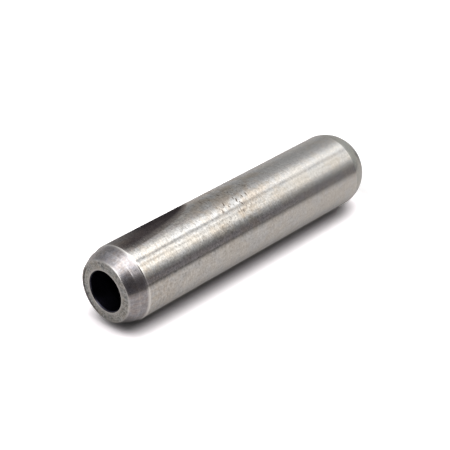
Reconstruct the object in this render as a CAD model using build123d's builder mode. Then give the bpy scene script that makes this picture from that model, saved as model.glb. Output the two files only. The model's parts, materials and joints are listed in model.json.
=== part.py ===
from build123d import *
import os
from math import radians, tan

# Valve guide of an engine's cylinder head: one turned and ground sleeve, in millimetres.
# The axis is Z. The origin is the centre of the port end, and the spring end is up.

# Sleeve
body_diameter = 13.2         # ground outside, pressed into the cylinder head
bore_diameter = 7.0          # running bore for the valve stem
overall_length = 59.0
bore_edge_break = 0.15       # chamfer at both mouths of the bore

# Port end: a nose turned to an arc, which leaves a narrow flat ring
nose_length = 4.0
nose_radius = 6.0
nose_ring_width = 0.8        # from the bore's edge break out to the arc

# Spring end, from the ground outside up: a narrow bevel, a slim cone, a steeper lead cone
bevel_depth = 0.1            # on the radius, where the ground outside stops
bevel_length = 0.15
slim_cone_length = 1.55
slim_cone_angle = 11.0       # degrees off the axis
lead_cone_length = 1.7
lead_cone_angle = 26.5
face_edge_radius = 0.25      # rounding between the lead cone and the end face

# Radii and heights that follow
body_radius = body_diameter / 2
bore_radius = bore_diameter / 2
nose_ring_radius = bore_radius + bore_edge_break + nose_ring_width

lead_cone_base = overall_length - lead_cone_length
slim_cone_base = lead_cone_base - slim_cone_length
body_top = slim_cone_base - bevel_length

slim_base_radius = body_radius - bevel_depth
lead_base_radius = slim_base_radius - slim_cone_length * tan(radians(slim_cone_angle))
face_radius = lead_base_radius - lead_cone_length * tan(radians(lead_cone_angle))

with BuildPart() as valve_guide:
    # Half of the section, from the bore wall outwards, turned about the axis
    with BuildSketch(Plane.XZ):
        with BuildLine():
            nose_ring = Line((bore_radius, 0), (nose_ring_radius, 0))
            nose = RadiusArc((body_radius, nose_length), nose_ring @ 1, nose_radius)
            Polyline(
                nose @ 0,
                (body_radius, body_top),
                (slim_base_radius, slim_cone_base),
                (lead_base_radius, lead_cone_base),
                (face_radius, overall_length),
                (bore_radius, overall_length),
                nose_ring @ 0,
            )
        make_face()
    revolve(axis=Axis.Z)

    # Both mouths of the bore, which is the narrowest cylinder
    bore_wall = valve_guide.faces().filter_by(GeomType.CYLINDER).sort_by(lambda face: face.radius)[0]
    chamfer(bore_wall.edges().filter_by(GeomType.CIRCLE), length=bore_edge_break)

    # Outer edge of the end face on the spring side
    end_face = valve_guide.faces().filter_by(GeomType.PLANE).sort_by(Axis.Z)[-1]
    fillet(end_face.outer_wire().edges(), radius=face_edge_radius)

valve_guide.part.label = "valve_guide"

os.makedirs("parts", exist_ok=True)
export_step(valve_guide.part, "parts/valve_guide.step")
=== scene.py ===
import json
import math

import bpy
import numpy as np
from mathutils import Matrix, Vector


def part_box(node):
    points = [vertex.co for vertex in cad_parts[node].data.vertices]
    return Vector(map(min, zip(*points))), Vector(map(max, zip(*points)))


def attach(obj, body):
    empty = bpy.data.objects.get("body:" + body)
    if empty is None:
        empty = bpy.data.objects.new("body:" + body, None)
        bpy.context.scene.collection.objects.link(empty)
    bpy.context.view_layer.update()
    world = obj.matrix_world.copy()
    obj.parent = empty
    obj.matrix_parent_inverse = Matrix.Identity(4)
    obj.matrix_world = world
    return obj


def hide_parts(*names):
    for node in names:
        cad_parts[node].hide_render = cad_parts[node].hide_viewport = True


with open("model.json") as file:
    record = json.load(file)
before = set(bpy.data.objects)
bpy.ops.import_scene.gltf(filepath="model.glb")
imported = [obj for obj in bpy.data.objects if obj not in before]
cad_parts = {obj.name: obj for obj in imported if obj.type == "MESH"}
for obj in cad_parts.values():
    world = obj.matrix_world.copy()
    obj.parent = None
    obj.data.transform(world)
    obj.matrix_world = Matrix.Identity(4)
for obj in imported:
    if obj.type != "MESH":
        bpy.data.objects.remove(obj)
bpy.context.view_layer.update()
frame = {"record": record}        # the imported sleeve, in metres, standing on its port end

mm = 0.001

# What the frame says about the sleeve
mounts = {mount["name"]: mount for mount in frame["record"]["mounts"]}
sleeveLow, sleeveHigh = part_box("valve_guide")
sleeveLength = sleeveHigh[2] - sleeveLow[2]
bodyRadius = mounts["head_seat"]["dims"]["r_mm"] * mm
boreRadius = mounts["stem_bore"]["dims"]["r_mm"] * mm
bodyLength = mounts["head_seat"]["dims"]["length_mm"] * mm
bodyStart = mounts["head_seat"]["pos_m"][2] - bodyLength / 2
bodyEnd = bodyStart + bodyLength

# The sleeve lies on the photograph's floor with its side, so in this upright frame that floor is a wall.
# floorUp points off that floor, floorSide along it, square to the axis and towards the camera.
axis = Vector((0, 0, 1))
floorUp = Vector((1, -1, 0)).normalized()
floorSide = Vector((-1, -1, 0)).normalized()


def towards(turn):
    # Unit vector square to the axis, turned from floorSide towards floorUp
    return floorSide * math.cos(turn) + floorUp * math.sin(turn)


# Section of the sleeve

sleeve = {
    "edgeBreak": 0.15 * mm,          # chamfer at both mouths of the bore
    "noseRadius": 6.0 * mm,
    "noseRing": 0.8 * mm,            # flat ring between the bore's edge break and the arc
    "bevelDepth": 0.1 * mm,          # where the ground outside stops
    "bevelLength": 0.15 * mm,
    "slimLength": 1.55 * mm,
    "slimAngle": math.radians(11),
    "leadLength": 1.7 * mm,
    "leadAngle": math.radians(26.5),
    "faceRound": 0.25 * mm,
    "ridgeRound": 1.2 * mm,          # between the two cones
    "worn": 0.035 * mm,              # what handling took off the sharp edges
    "nosePoints": 30,
    "finePoints": 7,                 # round a worn edge
    "widePoints": 12,                # round a larger radius
    "turns": 360,                    # divisions around
}
leadStart = sleeveLength - sleeve["leadLength"]      # height of the ridge between the two cones


def arcBetween(start, end, radius, count):
    # Points on a circle of the given radius through start and end. Its centre lies left of the way from
    # start to end, off the middle of the chord by the square root of radius squared less half the chord
    # squared.
    start, end = np.asarray(start, float), np.asarray(end, float)
    chord = end - start
    half = np.linalg.norm(chord) / 2
    left = np.array((-chord[1], chord[0])) / (2 * half)
    centre = (start + end) / 2 + left * math.sqrt(radius ** 2 - half ** 2)
    first = math.atan2(*(start - centre)[::-1])
    last = first + 2 * math.asin(half / radius)
    angle = np.linspace(first, last, count)
    return centre + radius * np.stack((np.cos(angle), np.sin(angle)), axis=1)


def roundedCorner(before, corner, after, radius, count):
    # Arc inside a corner: it touches both legs at radius times tan(half the turn) from the corner. A point at
    # a share of the way is the centre plus the two touching radii, weighted by sin((1 - share) turn) and
    # sin(share turn) over sin(turn).
    before, corner, after = (np.asarray(point, float) for point in (before, corner, after))
    inward = (before - corner) / np.linalg.norm(before - corner)
    onward = (after - corner) / np.linalg.norm(after - corner)
    turn = math.pi - math.acos(np.clip(inward @ onward, -1, 1))
    reach = radius * math.tan(turn / 2)
    bisector = (inward + onward) / np.linalg.norm(inward + onward)
    centre = corner + bisector * radius / math.cos(turn / 2)
    start, end = corner + inward * reach - centre, corner + onward * reach - centre
    share = np.linspace(0, 1, count)[:, None]
    return centre + (np.sin((1 - share) * turn) * start + np.sin(share * turn) * end) / math.sin(turn)


def straight(start, end, count):
    # Points between two ends, closer together near both, by a half cosine.
    share = (1 - np.cos(np.linspace(0, math.pi, count + 2)[1:-1]))[:, None] / 2
    return np.asarray(start) * (1 - share) + np.asarray(end) * share


def sleeveSection(size):
    # (radius, height) all round the wall: port ring, nose arc, ground body, bevel, two cones, end face, bore.
    top, worn = sleeveLength, size["worn"]
    mouth = boreRadius + size["edgeBreak"]
    slimBase = bodyRadius - size["bevelDepth"]
    leadBase = slimBase - size["slimLength"] * math.tan(size["slimAngle"])
    faceEdge = leadBase - size["leadLength"] * math.tan(size["leadAngle"])
    nose = arcBetween((mouth + size["noseRing"], 0), (bodyRadius, bodyStart), size["noseRadius"],
                      size["nosePoints"])
    # Each corner: its place, the radius of its rounding, and the points on the way to the next one. The nose
    # arc stands in for the corner that has no radius.
    corners = [
        ((boreRadius, size["edgeBreak"]), worn, 12),
        ((mouth, 0), worn, 6),
        (tuple(nose[0]), None, 0),
        ((bodyRadius, bodyStart), 0, 70),
        ((bodyRadius, bodyEnd), worn, 4),
        ((slimBase, bodyEnd + size["bevelLength"]), worn, 14),
        ((leadBase, leadStart), size["ridgeRound"], 14),
        ((faceEdge, top), size["faceRound"], 12),
        ((mouth, top), worn, 4),
        ((boreRadius, top - size["edgeBreak"]), worn, 34),
    ]
    # The corners that are rubbed bright: how bright, and how far that reaches
    brightCorners = [
        ((mouth, 0), 0.5, 0.12 * mm),
        (tuple(nose[0]), 0.5, 0.15 * mm),
        ((bodyRadius, bodyStart), 0.15, 0.16 * mm),
        ((bodyRadius, bodyEnd), 0.9, 0.26 * mm),
        ((leadBase, leadStart), 0.12, 0.12 * mm),
        ((faceEdge, top), 0.55, 0.22 * mm),
        ((mouth, top), 1.0, 0.32 * mm),
    ]
    places, radii, counts = zip(*corners)
    bends = []
    for index, (place, radius) in enumerate(zip(places, radii)):
        if radius is None:
            bends.append(nose[:-1])
        elif radius:
            after = places[(index + 1) % len(places)]
            count = size["finePoints"] if radius < size["faceRound"] else size["widePoints"]
            bends.append(roundedCorner(places[index - 1], place, after, radius, count))
        else:
            bends.append(np.array([place]))
    points = []
    for bend, following, count in zip(bends, bends[1:] + bends[:1], counts):
        points += [bend, straight(bend[-1], following[0], count)]
    points = np.concatenate(points)
    # Rubbed share at each point: the largest of bright times exp(-(distance / reach) squared)
    rubbed = np.zeros(len(points))
    for place, bright, reach in brightCorners:
        distance = np.linalg.norm(points - np.array(place), axis=1) / reach
        rubbed = np.maximum(rubbed, bright * np.exp(-distance ** 2))
    return points, rubbed


def turnedMesh(name, section, rubbed, turns):
    # Surface of revolution: point(u, v) = (radius(u) cos v, radius(u) sin v, height(u)), with u along the
    # section and v round the axis. The UV map holds u as a length from 0 to 1 and v as a share of the turn.
    count = len(section)
    turn = np.linspace(0, 2 * math.pi, turns, endpoint=False)
    radius, height = section[:, :1], section[:, 1:]
    points = np.stack(
        (radius * np.cos(turn), radius * np.sin(turn), np.broadcast_to(height, (count, turns))), axis=2
    ).reshape(-1, 3)
    here = np.arange(count * turns).reshape(count, turns)
    above = np.roll(here, -1, axis=0)
    beside, beyond = np.roll(here, -1, axis=1), np.roll(above, -1, axis=1)
    quads = np.stack((here, beside, beyond, above), axis=2).reshape(-1, 4)
    mesh = bpy.data.meshes.new(name)
    mesh.from_pydata(points, [], quads)

    steps = np.linalg.norm(np.roll(section, -1, axis=0) - section, axis=1)
    along = np.concatenate(([0], np.cumsum(steps))) / steps.sum()
    around = np.arange(turns + 1) / turns
    lower, upper = along[:-1, None], along[1:, None]
    left, right = around[None, :-1], around[None, 1:]
    corners = [
        np.stack(np.broadcast_arrays(u, v), axis=2)
        for u, v in ((lower, left), (lower, right), (upper, right), (upper, left))
    ]
    uvMap = mesh.uv_layers.new(name="turned")
    uvMap.data.foreach_set("uv", np.stack(corners, axis=2).astype(np.float32).ravel())
    wornValues = mesh.attributes.new("worn", "FLOAT", "POINT")
    wornValues.data.foreach_set("value", np.repeat(rubbed, turns).astype(np.float32))
    mesh.polygons.foreach_set("use_smooth", np.ones(len(quads), dtype=bool))
    mesh.update()
    return mesh, steps.sum()


section, rubbed = sleeveSection(sleeve)
sleeveMesh, sectionLength = turnedMesh("guide_sleeve", section, rubbed, sleeve["turns"])
guideSleeve = bpy.data.objects.new("guide_sleeve", sleeveMesh)
bpy.context.scene.collection.objects.link(guideSleeve)
print("sleeve:", len(sleeveMesh.polygons), "faces, section", round(sectionLength / mm, 2), "mm")


# Helpers for node trees: a value may be a socket or a plain number or colour

white = (1, 1, 1, 1)
black = (0, 0, 0, 1)


def addNode(tree, kind, **settings):
    node = tree.nodes.new(kind)
    for name, value in settings.items():
        setattr(node, name, value)
    return node


def feed(tree, socket, value):
    if isinstance(value, bpy.types.NodeSocket):
        tree.links.new(value, socket)
    else:
        socket.default_value = value


def maths(tree, operation, *values):
    node = addNode(tree, "ShaderNodeMath", operation=operation)
    for socket, value in zip(node.inputs, values):
        feed(tree, socket, value)
    return node.outputs[0]


def times(tree, first, *others):
    for other in others:
        first = maths(tree, "MULTIPLY", first, other)
    return first


def plus(tree, first, *others):
    for other in others:
        first = maths(tree, "ADD", first, other)
    return first


def minus(tree, first, second):
    return maths(tree, "SUBTRACT", first, second)


def vectorMaths(tree, operation, vector, value):
    node = addNode(tree, "ShaderNodeVectorMath", operation=operation)
    feed(tree, node.inputs[0], vector)
    feed(tree, node.inputs["Scale" if operation == "SCALE" else 1], value)
    return node.outputs["Value" if operation in ("DOT_PRODUCT", "DISTANCE") else "Vector"]


def mapRange(tree, source, fromMin, fromMax, toMin=0, toMax=1, smooth=True):
    node = addNode(tree, "ShaderNodeMapRange", interpolation_type="SMOOTHSTEP" if smooth else "LINEAR")
    values = (("From Min", fromMin), ("From Max", fromMax), ("To Min", toMin), ("To Max", toMax))
    for name, value in values:
        node.inputs[name].default_value = value
    tree.links.new(source, node.inputs["Value"])
    return node.outputs["Result"]


def mixColours(tree, share, first, second, blend="MIX"):
    node = addNode(tree, "ShaderNodeMix", data_type="RGBA", blend_type=blend)
    for socket, value in ((node.inputs[0], share), (node.inputs[6], first), (node.inputs[7], second)):
        feed(tree, socket, value)
    return node.outputs[2]


def mixShaders(tree, share, first, second):
    node = addNode(tree, "ShaderNodeMixShader")
    for socket, source in zip(node.inputs, (share, first.outputs[0], second.outputs[0])):
        tree.links.new(source, socket)
    return node.outputs[0]


def newMaterial(name):
    material = bpy.data.materials.new(name)
    material.use_nodes = True
    tree = material.node_tree
    tree.nodes.clear()
    output = addNode(tree, "ShaderNodeOutputMaterial")
    return material, tree, output


# Finish of the sleeve. After the colours a tuple is a band, as mapRange takes it: where a share starts, where
# it is full, and its two values if they aren't 0 and 1.

finish = {
    "ground": (0.557, 0.545, 0.531, 1),      # the ground outside
    "slim": (0.375, 0.362, 0.384, 1),        # the two cones, straight from the lathe
    "lead": (0.402, 0.388, 0.410, 1),
    "face": (0.58, 0.588, 0.585, 1),
    "faceGrazing": (0.28, 0.28, 0.27, 1),    # the end face is duller from a low angle
    "nose": (0.44, 0.442, 0.425, 1),
    # Painted shade: the bore wall and its edge break get dark colours that stand in for the shade inside the
    # hole
    "bore": (0.16, 0.155, 0.23, 1),
    "mouth": (0.035, 0.035, 0.045, 1),       # the bore's edge break
    "edge": (0.90, 0.87, 0.84, 1),           # rubbed bright
    "warm": (1.03, 1.0, 0.955, 1),           # tints of the mottle
    "cool": (0.995, 1.0, 1.005, 1),
    "stain": (0.86, 0.78, 0.70, 1),
    "pit": (0.14, 0.11, 0.09, 1),
    # painted reflection of shade on the end face
    "paintedShadeRing": (0.30, 0.28, 0.29, 1),

    # Where each finish is, by height or by distance from the axis
    "springBand": (bodyEnd - 0.02 * mm, bodyEnd + 0.05 * mm),
    "leadBand": (leadStart - 0.1 * mm, leadStart + 0.1 * mm),
    "faceBand": (sleeveLength - 0.08 * mm, sleeveLength - 0.01 * mm),
    "noseBand": (bodyStart + 0.05 * mm, bodyStart - 0.05 * mm),
    # Where the painted shade of the bore and of its edge break lies
    "boreBand": (boreRadius + 0.165 * mm, boreRadius + 0.12 * mm),
    "mouthBand": (boreRadius + 0.01 * mm, boreRadius + 0.04 * mm),

    # Where it was handled: most on one side, from the middle to the spring end
    "handledTurn": math.radians(65),
    "handledSide": (0.45, 0.85),             # cosine of the angle off that turn
    "handledStart": (sleeveLength * 0.25, sleeveLength * 0.6),
    "handledStop": (sleeveLength * 0.65, sleeveLength * 0.85, 1, 0.25),
    "handledPatches": (0.38, 0.62, 0.55, 1.45),      # more in some places and less in others
    "nearSpring": (sleeveLength * 0.65, sleeveLength * 0.85, 0, 0.4),

    # Noises: steps per mm along the section and around, detail, and the roughness of the detail
    "noises": {
        "rings": (4, 0.12, 4, 0.6),          # grinding marks, which run round
        "hatch": (3.0, 1.5, 2, 0.6),
        "grain": (2.6, 2.6, 2, 0.65),        # with no way of its own
        "chatter": (1.1, 1.1, 2, 0.5),
        "streaks": (0.3, 3.0, 2, 0.5),       # along the axis
        "mottle": (0.35, 0.35, 3, 0.6),
        "patches": (0.22, 0.3, 2, 0.5),
        "pits": (3.0, 0.9, 1, 0.5),
        "specks": (3.1, 2.2, 1, 0.5),
    },
    # How far each noise lightens and darkens the metal, and how strongly, by height and by place
    "marks": {"rings": 0.25, "hatch": 0.5, "grain": 0.65, "chatter": 0.30, "streaks": 0.30},
    "markStrength": (sleeveLength * 0.1, sleeveLength * 0.5, 0.4, 0.8),
    "handledMarks": 0.7,
    "faceMarks": 1.8,
    "tintBand": (0.38, 0.62),                # of the mottle, from cool to warm

    # The stained and pitted patch on top, where it was left damp
    "stainHeight": 32.0 * mm,
    "stainTurn": math.radians(82),
    "stainStretch": 0.7,                     # a distance along the axis counts for this much
    "stainBand": (9.92 * mm, 3.72 * mm),     # away from the patch's middle
    "stainMottle": (0.40, 0.62),
    "stainShare": 0.7,
    "pitBand": (5.456 * mm, 2.17 * mm),
    "pitNoise": (0.62, 0.70),
    "speckNoise": (0.64, 0.74, 0, 0.42),

    # A painted reflection of shade: a dark ring part of the way round the end face, on the side where its rim
    # reflects the shade beside the sleeve
    "shadeRingRadius": 4.94 * mm,
    "shadeRingBand": (0.24 * mm, 0.072 * mm),    # off that radius
    "shadeRingTurn": math.radians(-162),         # the middle of its sweep
    "shadeRingSweep": (0.55, 1.25),              # how far out towards that turn, in bore radii

    # Smudges near the spring end, specks that catch the light, and how bright the rubbed edges are
    "smudgeNoise": (0.45, 0.62),
    "smudgeBand": (sleeveLength * 0.78, sleeveLength * 0.92, 0, 0.5),
    "brightNoise": (0.33, 0.26),
    "brightShare": 0.4,
    "edgeShare": 0.9,

    # Roughness and relief
    "groundRoughness": (0, sleeveLength * 0.7, 0.26, 0.15),      # smoother towards the spring end
    "turnedRoughness": 0.22,
    "mottleRoughness": 0.12,
    "pitRoughness": 0.3,
    "anisotropy": 0.7,
    "relief": {"hatch": 0.5, "grain": 0.5},
    "plainRelief": 0.3,                      # where it was hardly handled
    "bumpStrength": 0.8,
    "bumpDistance": 0.004 * mm,
}


def ringNoise(tree, place, alongPerMm, aroundPerMm, detail, roughness):
    # Noise on the unrolled surface: the section's length in mm one way, the turn as a point on a circle of
    # the body's radius the other way, so that it closes on itself.
    vector = addNode(tree, "ShaderNodeCombineXYZ")
    feed(tree, vector.inputs[0], times(tree, place["length"], alongPerMm))
    feed(tree, vector.inputs[1], times(tree, place["cosine"], aroundPerMm * bodyRadius / mm))
    feed(tree, vector.inputs[2], times(tree, place["sine"], aroundPerMm * bodyRadius / mm))
    noise = addNode(tree, "ShaderNodeTexNoise")
    noise.inputs["Scale"].default_value = 1
    noise.inputs["Detail"].default_value = detail
    noise.inputs["Roughness"].default_value = roughness
    tree.links.new(vector.outputs[0], noise.inputs["Vector"])
    return noise.outputs["Fac"]


def surfacePlace(tree):
    # Where a point is on the sleeve: the section's length in mm, cosine and sine of the turn, height, and
    # distance from the axis.
    uvMap = addNode(tree, "ShaderNodeUVMap", uv_map="turned")
    shares = addNode(tree, "ShaderNodeSeparateXYZ")
    tree.links.new(uvMap.outputs[0], shares.inputs[0])
    turn = times(tree, shares.outputs[1], 2 * math.pi)
    point = addNode(tree, "ShaderNodeTexCoord").outputs["Object"]
    parts = addNode(tree, "ShaderNodeSeparateXYZ")
    tree.links.new(point, parts.inputs[0])
    x, y, z = parts.outputs
    return {
        "length": times(tree, shares.outputs[0], sectionLength / mm),
        "cosine": maths(tree, "COSINE", turn),
        "sine": maths(tree, "SINE", turn),
        "point": point,
        "height": z,
        "radius": maths(tree, "SQRT", plus(tree, times(tree, x, x), times(tree, y, y))),
    }


def ironShares(tree, place, noise, look):
    # From 0 to 1: where each finish is, and how much each place was handled
    height, radius = place["height"], place["radius"]
    spring = mapRange(tree, height, *look["springBand"])
    nose = mapRange(tree, height, *look["noseBand"])
    turned = maths(tree, "MAXIMUM", spring, nose)
    facing = vectorMaths(tree, "DOT_PRODUCT", place["point"], towards(look["handledTurn"]) / bodyRadius)
    onward = times(tree, mapRange(tree, height, *look["handledStart"]),
                   mapRange(tree, height, *look["handledStop"]))
    handled = times(tree, mapRange(tree, facing, *look["handledSide"]), onward, minus(tree, 1, turned))
    return {
        "spring": spring,
        "nose": nose,
        "turned": turned,
        "lead": mapRange(tree, height, *look["leadBand"]),
        "face": mapRange(tree, height, *look["faceBand"]),
        "bore": mapRange(tree, radius, *look["boreBand"]),
        "mouth": mapRange(tree, radius, *look["mouthBand"]),
        "edge": addNode(tree, "ShaderNodeAttribute", attribute_name="worn").outputs["Fac"],
        "onward": onward,
        "handled": handled,
        "uneven": times(tree, handled, mapRange(tree, noise["patches"], *look["handledPatches"])),
        "nearSpring": mapRange(tree, height, *look["nearSpring"]),
    }


def markedMetal(tree, place, share, noise, look):
    # The metal as it was ground and turned, with its marks
    cones = mixColours(tree, share["lead"], look["slim"], look["lead"])
    colour = mixColours(tree, share["spring"], look["ground"], cones)
    colour = mixColours(tree, share["nose"], colour, look["nose"])
    colour = mixColours(tree, share["face"], colour, look["face"])
    tint = mixColours(tree, mapRange(tree, noise["mottle"], *look["tintBand"]), look["cool"], look["warm"])
    colour = mixColours(tree, 1, colour, tint, "MULTIPLY")

    # The marks lighten and darken: 1 in the middle of each noise
    strength = plus(tree, mapRange(tree, place["height"], *look["markStrength"]),
                    times(tree, share["uneven"], look["handledMarks"]),
                    share["nearSpring"], times(tree, share["face"], look["faceMarks"]))
    marks = 1
    for name, amount in look["marks"].items():
        marks = plus(tree, marks, times(tree, minus(tree, noise[name], 0.5), amount, strength))
    return vectorMaths(tree, "SCALE", colour, marks)


def pitShare(tree, away, share, noise, look):
    # Pits in the damp patch, and a few specks where it was handled
    patch = mapRange(tree, away, *look["pitBand"])
    pits = times(tree, patch, mapRange(tree, noise["pits"], *look["pitNoise"]))
    specks = times(tree, share["handled"], mapRange(tree, noise["specks"], *look["speckNoise"]))
    return maths(tree, "MAXIMUM", pits, specks)


def awayFromPatch(tree, place, look):
    # Distance from the middle of the damp patch, to which a step along the axis adds less
    stretch = look["stainStretch"]
    middle = towards(look["stainTurn"]) * bodyRadius + axis * look["stainHeight"] * stretch
    stretched = vectorMaths(tree, "MULTIPLY", place["point"], (1, 1, stretch))
    return vectorMaths(tree, "DISTANCE", stretched, middle)


def paintedShadeRingShare(tree, place, share, look):
    # The painted shade ring on the end face, darkest in the middle of its sweep
    offLine = maths(tree, "ABSOLUTE", minus(tree, place["radius"], look["shadeRingRadius"]))
    sweep = vectorMaths(tree, "DOT_PRODUCT", place["point"], towards(look["shadeRingTurn"]) / boreRadius)
    return times(tree, mapRange(tree, offLine, *look["shadeRingBand"]),
                 mapRange(tree, sweep, *look["shadeRingSweep"]), share["face"])


def ironColour(tree, place, share, noise, away, pits, look):
    # One layer over another: metal, stain, pits, the painted shade ring, smudges, bright specks, rubbed
    # edges, and the painted shade of the bore
    colour = markedMetal(tree, place, share, noise, look)
    stain = times(tree, mapRange(tree, away, *look["stainBand"]),
                  mapRange(tree, noise["mottle"], *look["stainMottle"]), look["stainShare"])
    colour = mixColours(tree, stain, colour, look["stain"], "MULTIPLY")
    colour = mixColours(tree, pits, colour, look["pit"])
    colour = mixColours(tree, paintedShadeRingShare(tree, place, share, look), colour, look["paintedShadeRing"], "MULTIPLY")
    smudge = times(tree, mapRange(tree, noise["chatter"], *look["smudgeNoise"]),
                   mapRange(tree, place["height"], *look["smudgeBand"]))
    colour = mixColours(tree, smudge, colour, look["stain"], "MULTIPLY")
    bright = times(tree, mapRange(tree, noise["specks"], *look["brightNoise"]), share["onward"],
                   look["brightShare"])
    colour = mixColours(tree, bright, colour, look["edge"])
    colour = mixColours(tree, times(tree, share["edge"], look["edgeShare"]), colour, look["edge"])
    # Painted shade in the bore: the wall and the edge break are darker than the metal outside
    shadedBoreWall = mixColours(tree, share["mouth"], look["bore"], look["mouth"])
    return mixColours(tree, share["bore"], colour, shadedBoreWall)


def ironRoughness(tree, place, share, noise, pits, look):
    # Ground and turned metal each have their own, and the mottle and the pits change both
    blend = addNode(tree, "ShaderNodeMix", data_type="FLOAT")
    feed(tree, blend.inputs[0], share["turned"])
    feed(tree, blend.inputs[2], mapRange(tree, place["height"], *look["groundRoughness"], smooth=False))
    feed(tree, blend.inputs[3], look["turnedRoughness"])
    mottle = times(tree, minus(tree, noise["mottle"], 0.5), look["mottleRoughness"])
    return plus(tree, blend.outputs[0], mottle, times(tree, pits, look["pitRoughness"]))


def ironBump(tree, share, noise, pits, look):
    # Hatch and grain stand out more where it was handled and near the spring end, and pits go in
    hatch, grain = (times(tree, noise[name], amount) for name, amount in look["relief"].items())
    raised = plus(tree, share["uneven"], look["plainRelief"], share["nearSpring"])
    relief = minus(tree, times(tree, plus(tree, hatch, grain), raised), pits)
    bump = addNode(tree, "ShaderNodeBump")
    bump.inputs["Strength"].default_value = look["bumpStrength"]
    bump.inputs["Distance"].default_value = look["bumpDistance"]
    tree.links.new(relief, bump.inputs["Height"])
    return bump.outputs[0]


def groundIron(look):
    material, tree, output = newMaterial("ground_iron_finish")
    place = surfacePlace(tree)
    noise = {name: ringNoise(tree, place, *values) for name, values in look["noises"].items()}
    share = ironShares(tree, place, noise, look)
    away = awayFromPatch(tree, place, look)
    pits = pitShare(tree, away, share, noise, look)
    colour = ironColour(tree, place, share, noise, away, pits, look)
    grazing = mixColours(tree, share["face"], white, look["faceGrazing"])
    tangent = addNode(tree, "ShaderNodeTangent", direction_type="UV_MAP", uv_map="turned")
    shader = addNode(tree, "ShaderNodeBsdfPrincipled")
    shader.inputs["Metallic"].default_value = 1
    shader.inputs["Anisotropic"].default_value = look["anisotropy"]
    tree.links.new(colour, shader.inputs["Base Color"])
    tree.links.new(ironRoughness(tree, place, share, noise, pits, look), shader.inputs["Roughness"])
    tree.links.new(grazing, shader.inputs["Specular Tint"])
    tree.links.new(ironBump(tree, share, noise, pits, look), shader.inputs["Normal"])
    tree.links.new(tangent.outputs["Tangent"], shader.inputs["Tangent"])
    tree.links.new(shader.outputs["BSDF"], output.inputs["Surface"])
    return material


guideSleeve.data.materials.append(groundIron(finish))
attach(guideSleeve, "root")
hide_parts("valve_guide")
print("finish:", len(guideSleeve.active_material.node_tree.nodes), "nodes")


# Floor, whose bands go by the distance from the axis across it, or by the height along the sleeve

floorLook = {
    "halfSize": 1.0,                         # metres
    "cameraColour": (1.86, 1.78, 1.81, 1),   # white to the camera, apart from the shadow
    "behindColour": (1.15, 1.14, 1.14, 1),   # the same on the sleeve's far side and past the port end
    "glossColour": (0.485, 0.465, 0.455, 1),     # pale in the metal
    # painted light: a glow that the floor gives in the metal only
    "paintedGlossGlow": (0.198, 0.191, 0.187, 1),
    "plainColour": (0.60, 0.59, 0.57, 1),    # what it gives back as light

    # A painted shadow that only the camera sees, over the floor's own: darkest right under the sleeve, and
    # none past the two ends
    "shadowNear": (1.21 * bodyRadius, 0.42 * bodyRadius),
    "shadowFar": (-1.05 * bodyRadius, 0.15 * bodyRadius),
    "shadowDepth": (sleeveLength * 0.84, sleeveLength * 0.95, 0.62, 0.74),
    "shadowSpring": (sleeveLength * 1.035, sleeveLength * 0.96),
    "shadowPort": (0, sleeveLength * 0.12),
    "behindSide": (-2.2 * bodyRadius, -3.4 * bodyRadius),        # where behindColour takes over
    "behindPort": (0, -0.6 * bodyRadius),

    # Painted shade on the floor as the metal shows it: darker away from the sleeve on the camera's side, past
    # the spring end, and on the far side of the port end
    "fadeSide": (28 * mm, 110 * mm, 1, 0.22),
    "fadeSpring": (sleeveLength * 0.85, sleeveLength * 1.4, 1, 0.7),
    "dimFar": (-4.5 * bodyRadius, -2.7 * bodyRadius),
    "dimNear": (0, -0.5 * bodyRadius),
    "dimPort": (0, -1.5 * bodyRadius, 0, 0.45),

    # Painted light: the floor glows in the metal only, but not right under the sleeve, where its own contact
    # shadow stays dark in the metal, and little of it under the spring end
    "glowSide": (0.48 * bodyRadius, 0.63 * bodyRadius),
    "glowDimSpring": (sleeveLength * 0.92, sleeveLength * 0.97, 0, 0.85),
    "glowDimSide": (1.0 * bodyRadius, 0.65 * bodyRadius),
}


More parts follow.
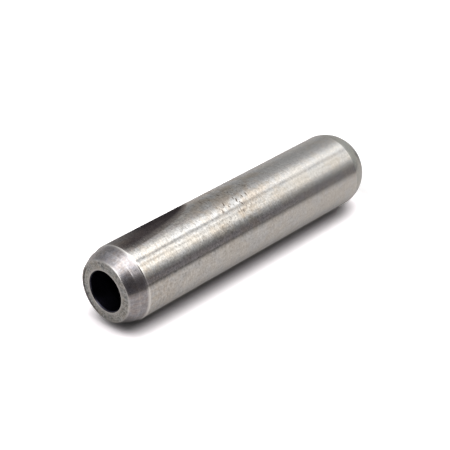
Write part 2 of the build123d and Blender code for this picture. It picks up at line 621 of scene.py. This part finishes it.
def floorMaterial(look):
    material, tree, output = newMaterial("floor_finish")
    path = addNode(tree, "ShaderNodeLightPath").outputs
    point = addNode(tree, "ShaderNodeTexCoord").outputs["Object"]
    side = vectorMaths(tree, "DOT_PRODUCT", point, floorSide)
    along = vectorMaths(tree, "DOT_PRODUCT", point, axis)

    def band(source, name, **settings):
        return mapRange(tree, source, *look[name], **settings)

    # In the metal, with painted shade and a painted glow
    dim = times(tree, band(side, "dimFar"), band(side, "dimNear"), band(along, "dimPort"))
    fade = times(tree, band(side, "fadeSide", smooth=False), band(along, "fadeSpring"), minus(tree, 1, dim))
    gloss = mixColours(tree, fade, black, look["glossColour"])
    lit = mixColours(tree, path["Is Glossy Ray"], look["plainColour"], gloss)
    glowDim = times(tree, band(along, "glowDimSpring"), band(side, "glowDimSide"))
    inFront = times(tree, band(side, "glowSide"), minus(tree, 1, glowDim))

    # To the camera, with the painted shadow
    paintedShadow = times(tree, band(side, "shadowNear", smooth=False), band(along, "shadowDepth"),
                   band(side, "shadowFar"), band(along, "shadowSpring"), band(along, "shadowPort"))
    seen = mixColours(tree, paintedShadow, look["cameraColour"], black)
    behind = maths(tree, "MAXIMUM", band(side, "behindSide"), band(along, "behindPort"))
    seen = mixColours(tree, behind, seen, look["behindColour"])

    diffuse = addNode(tree, "ShaderNodeBsdfDiffuse")
    tree.links.new(mixColours(tree, path["Is Camera Ray"], lit, seen), diffuse.inputs["Color"])
    # Painted light: the floor glows where the metal shows it, though it is no lamp
    glow = addNode(tree, "ShaderNodeEmission")
    glow.inputs["Color"].default_value = look["paintedGlossGlow"]
    tree.links.new(times(tree, fade, path["Is Glossy Ray"], inFront), glow.inputs["Strength"])
    sheet = addNode(tree, "ShaderNodeAddShader")
    tree.links.new(diffuse.outputs[0], sheet.inputs[0])
    tree.links.new(glow.outputs[0], sheet.inputs[1])

    # Seen from under the floor, and on every path that came through it, the floor isn't there
    passed = maths(tree, "GREATER_THAN", path["Transparent Depth"], 0.5)
    under = addNode(tree, "ShaderNodeNewGeometry").outputs["Backfacing"]
    clear = addNode(tree, "ShaderNodeBsdfTransparent")
    surface = mixShaders(tree, maths(tree, "MAXIMUM", passed, under), sheet, clear)
    tree.links.new(surface, output.inputs["Surface"])
    return material


def panel(name, centre, sideways, lengthways, material):
    # Flat sheet: its corners are the centre plus and minus two half sides, and it faces along their cross
    # product.
    points = [centre - sideways - lengthways, centre + sideways - lengthways,
              centre + sideways + lengthways, centre - sideways + lengthways]
    mesh = bpy.data.meshes.new(name)
    mesh.from_pydata([tuple(point) for point in points], [], [(0, 1, 2, 3)])
    mesh.materials.append(material)
    sheet = bpy.data.objects.new(name, mesh)
    bpy.context.scene.collection.objects.link(sheet)
    return sheet


floorCentre = -floorUp * bodyRadius + axis * sleeveLength / 2
floor = panel("floor", floorCentre, axis * floorLook["halfSize"], floorSide * floorLook["halfSize"],
              floorMaterial(floorLook))
print("floor: it faces", [round(value, 3) for value in floor.data.polygons[0].normal])


# Studio light: one soft sky, whose level goes by the angle above the floor as seen along the sleeve.
# 0 degrees is level on the camera's side, 90 straight off the floor. It changes with the axial part of the
# direction, from -1 towards the port end to 1 towards the spring end.

plain = (1, 1, 1)
warm = (1.03, 1, 0.95)
plum = (1.05, 0.98, 1.03)
leaf = (1, 1, 0.965)
studio = {
    "strength": 3.2,                 # the brightest that a stop may be
    "skies": [                       # axial part, then stops of angle, level and tint
        (-0.66, [
            (0, 0.28, plum), (5, 0.22, plum), (14, 0.20, plum), (21, 0.28, plain), (28, 0.47, plain),
            (35, 0.70, plain), (42, 1.08, warm), (50, 1.22, warm), (66, 1.24, warm), (70, 1.05, plain),
            (73, 0.72, plain), (77, 0.85, plain), (82, 1.34, plain), (90, 1.42, plain), (98, 1.14, plain),
            (108, 0.83, plain), (118, 0.57, plain), (135, 0.46, plain), (155, 0.41, plain),
            (180, 0.60, plain)]),
        (-0.585, [
            (0, 0.30, plum), (5, 0.24, plum), (14, 0.20, plum), (21, 0.31, plain), (28, 0.58, plain),
            (34, 0.98, plain), (41, 1.55, warm), (47, 2.12, warm), (51, 1.95, warm), (57, 1.17, warm),
            (60, 1.60, warm), (63, 2.30, plain), (66, 1.70, plain), (70, 1.10, plain), (73, 0.58, plain),
            (76, 0.70, plain), (79, 2.10, plain), (82, 2.30, plain), (87, 1.90, plain), (92, 1.60, plain),
            (99, 1.20, plain), (105, 0.84, plain), (111, 0.56, plum), (118, 0.48, plain),
            (135, 0.37, plain), (155, 0.31, plain), (180, 0.50, plain)]),
        (-0.33, [
            (0, 0.14, plum), (13, 0.11, plum), (28, 0.13, plum), (38, 0.23, plum), (50, 0.45, plain),
            (60, 1.10, plain), (67, 2.2, plain), (75, 3.0, plain), (92, 3.0, plain), (102, 1.50, plain),
            (116, 0.80, plain), (132, 0.57, plain), (147, 0.40, plain), (162, 0.385, plain),
            (180, 0.52, plain)]),
        (0.03, [
            (0, 0.12, plum), (13, 0.10, plum), (28, 0.13, plain), (37, 0.45, plain), (44, 1.60, plain),
            (56, 2.40, plain), (75, 2.60, plain), (92, 2.40, plain), (102, 1.45, plain), (116, 0.93, plain),
            (130, 0.63, plain), (146, 0.41, plain), (158, 0.39, plain), (168, 0.41, plain),
            (180, 0.55, plain)]),
        (0.22, [
            (0, 0.12, plum), (13, 0.10, plum), (30, 0.08, plum), (45, 0.10, plum), (56, 0.22, plum),
            (65, 1.10, plain), (75, 2.10, plain), (92, 2.25, plain), (102, 1.45, plain), (116, 0.95, plain),
            (130, 0.64, plain), (146, 0.41, plain), (158, 0.39, plain), (168, 0.41, plain),
            (180, 0.55, plain)]),
    ],
    "poleBand": (-0.72, -0.92),      # axial part where the sky turns even, round the port end's pole
    "poleLevel": 0.62,
    "poleTint": leaf,
}


def skyColour(level, tint, strength):
    # A stop's colour as a share of the strength, because a ramp holds no more than 1
    return tuple(min(level * part / strength, 1) for part in tint) + (1,)


def skyRamp(tree, share, stops, strength):
    ramp = addNode(tree, "ShaderNodeValToRGB")
    elements = ramp.color_ramp.elements
    while len(elements) > 1:
        elements.remove(elements[-1])
    for index, (angle, level, tint) in enumerate(stops):
        element = elements[0] if index == 0 else elements.new(angle / 180)
        element.position = angle / 180
        element.color = skyColour(level, tint, strength)
    tree.links.new(share, ramp.inputs["Fac"])
    return ramp.outputs["Color"]


def studioSky(look):
    world = bpy.data.worlds.new("studio_sky")
    bpy.context.scene.world = world
    world.use_nodes = True
    tree = world.node_tree
    tree.nodes.clear()
    way = addNode(tree, "ShaderNodeTexCoord").outputs["Generated"]
    up = vectorMaths(tree, "DOT_PRODUCT", way, floorUp)
    side = vectorMaths(tree, "DOT_PRODUCT", way, floorSide)
    along = vectorMaths(tree, "DOT_PRODUCT", way, axis)
    angle = maths(tree, "ARCTAN2", maths(tree, "ABSOLUTE", up), side)      # the same sky under the floor
    share = maths(tree, "DIVIDE", angle, math.pi)
    sky, before = None, None
    for axialPart, stops in look["skies"]:
        colour = skyRamp(tree, share, stops, look["strength"])
        if sky is None:
            sky = colour
        else:
            sky = mixColours(tree, mapRange(tree, along, before, axialPart), sky, colour)
        before = axialPart
    pole = skyColour(look["poleLevel"], look["poleTint"], look["strength"])
    sky = mixColours(tree, mapRange(tree, along, *look["poleBand"]), sky, pole)
    light = addNode(tree, "ShaderNodeBackground")
    light.inputs["Strength"].default_value = look["strength"]
    tree.links.new(sky, light.inputs["Color"])
    backdrop = addNode(tree, "ShaderNodeBackground")
    backdrop.inputs["Color"].default_value = white
    seen = addNode(tree, "ShaderNodeLightPath").outputs["Is Camera Ray"]
    output = addNode(tree, "ShaderNodeOutputWorld")
    tree.links.new(mixShaders(tree, seen, light, backdrop), output.inputs["Surface"])


studioSky(studio)
print("sky:", sum(len(stops) for axialPart, stops in studio["skies"]), "stops")


# Dark card beside the sleeve and square to its axis, which shows in the metal only

card = {
    "height": 33.6 * mm,             # up the sleeve
    "near": 8 * mm,                  # edge nearest to the sleeve's axis, away from the camera
    "far": 36 * mm,
    "top": 33 * mm,                  # over the axis, off the floor
    "colour": (0.036, 0.030, 0.034, 1),
    "highColour": (0.080, 0.066, 0.070, 1),
    "nearColour": (0.29, 0.265, 0.255, 1),
    "farColour": (0.26, 0.25, 0.25, 1),
    "highBand": (4 * mm, 20 * mm),   # over the axis
    "farStart": 22 * mm,             # from here to the far edge it turns to the far colour
    "edgeWidth": (5 * mm, 22 * mm, 1.8 * mm, 8.5 * mm),      # of the near edge's fade, wider high up
    "clearBand": (0.45, 0.56),       # one less the cosine off the card's normal
}


def cardMaterial(look):
    material, tree, output = newMaterial("card_finish")
    point = addNode(tree, "ShaderNodeTexCoord").outputs["Object"]
    side = vectorMaths(tree, "DOT_PRODUCT", point, -floorSide)
    up = vectorMaths(tree, "DOT_PRODUCT", point, floorUp)
    colour = mixColours(tree, mapRange(tree, up, *look["highBand"]), look["colour"], look["highColour"])
    far = mapRange(tree, side, look["farStart"], look["far"], smooth=False)
    colour = mixColours(tree, far, colour, look["farColour"])
    # The near edge fades: 1 on the edge, 0 one width away
    width = mapRange(tree, up, *look["edgeWidth"], smooth=False)
    edge = minus(tree, 1, maths(tree, "DIVIDE", minus(tree, side, look["near"]), width))
    glow = addNode(tree, "ShaderNodeEmission")
    tree.links.new(mixColours(tree, edge, colour, look["nearColour"]), glow.inputs["Color"])
    # Louvred: dark from straight on, clear from a low angle
    facing = addNode(tree, "ShaderNodeLayerWeight").outputs["Facing"]
    clear = addNode(tree, "ShaderNodeBsdfTransparent")
    surface = mixShaders(tree, mapRange(tree, facing, *look["clearBand"]), glow, clear)
    tree.links.new(surface, output.inputs["Surface"])
    return material


cardMiddle = (
    -floorSide * (card["near"] + card["far"]) / 2
    + floorUp * (card["top"] - bodyRadius) / 2
    + axis * card["height"]
)
halfWidth = (card["far"] - card["near"]) / 2
halfHeight = (card["top"] + bodyRadius) / 2
darkCard = panel("dark_card", cardMiddle, floorSide * halfWidth, floorUp * halfHeight, cardMaterial(card))
darkCard.visible_camera = False
darkCard.visible_diffuse = False
darkCard.visible_shadow = False
print("card:", round(2 * halfWidth / mm, 1), "by", round(2 * halfHeight / mm, 1), "mm")

# The metal throws no light on the floor, so the contact shadow stays as dark as in the photograph
bpy.context.scene.cycles.caustics_reflective = False


# Camera at the photograph's viewpoint

view = {
    "distance": 261.54 * mm,                      # from the point it looks at
    "offAxis": math.radians(50.75),               # between the line of sight and the sleeve's axis
    "aboveFloor": math.radians(40.66),            # seen along the axis, from the floor up
    "lookAt": Vector((0.36 * mm, 1.97 * mm, 29.5 * mm)),
    "lens": 122.74,
    "sensor": 36,
}


def photoCamera(look):
    # backward points from the place it looks at to the camera, and right lies along the floor
    across = towards(look["aboveFloor"])
    backward = axis * math.cos(look["offAxis"]) + across * math.sin(look["offAxis"])
    right = (-backward).cross(floorUp).normalized()
    upward = backward.cross(right)
    turn = Matrix((right, upward, backward)).transposed()
    data = bpy.data.cameras.new("photo_camera")
    data.lens = look["lens"]
    data.sensor_width = look["sensor"]
    data.clip_start = 0.01
    data.clip_end = 10
    camera = bpy.data.objects.new("photo_camera", data)
    camera.matrix_world = Matrix.Translation(look["lookAt"] + backward * look["distance"]) @ turn.to_4x4()
    bpy.context.scene.collection.objects.link(camera)
    bpy.context.scene.camera = camera
    return camera


camera = photoCamera(view)
print("camera: at", [round(value / mm, 1) for value in camera.matrix_world.translation], "mm")

bpy.context.scene.view_settings.view_transform = "Standard"
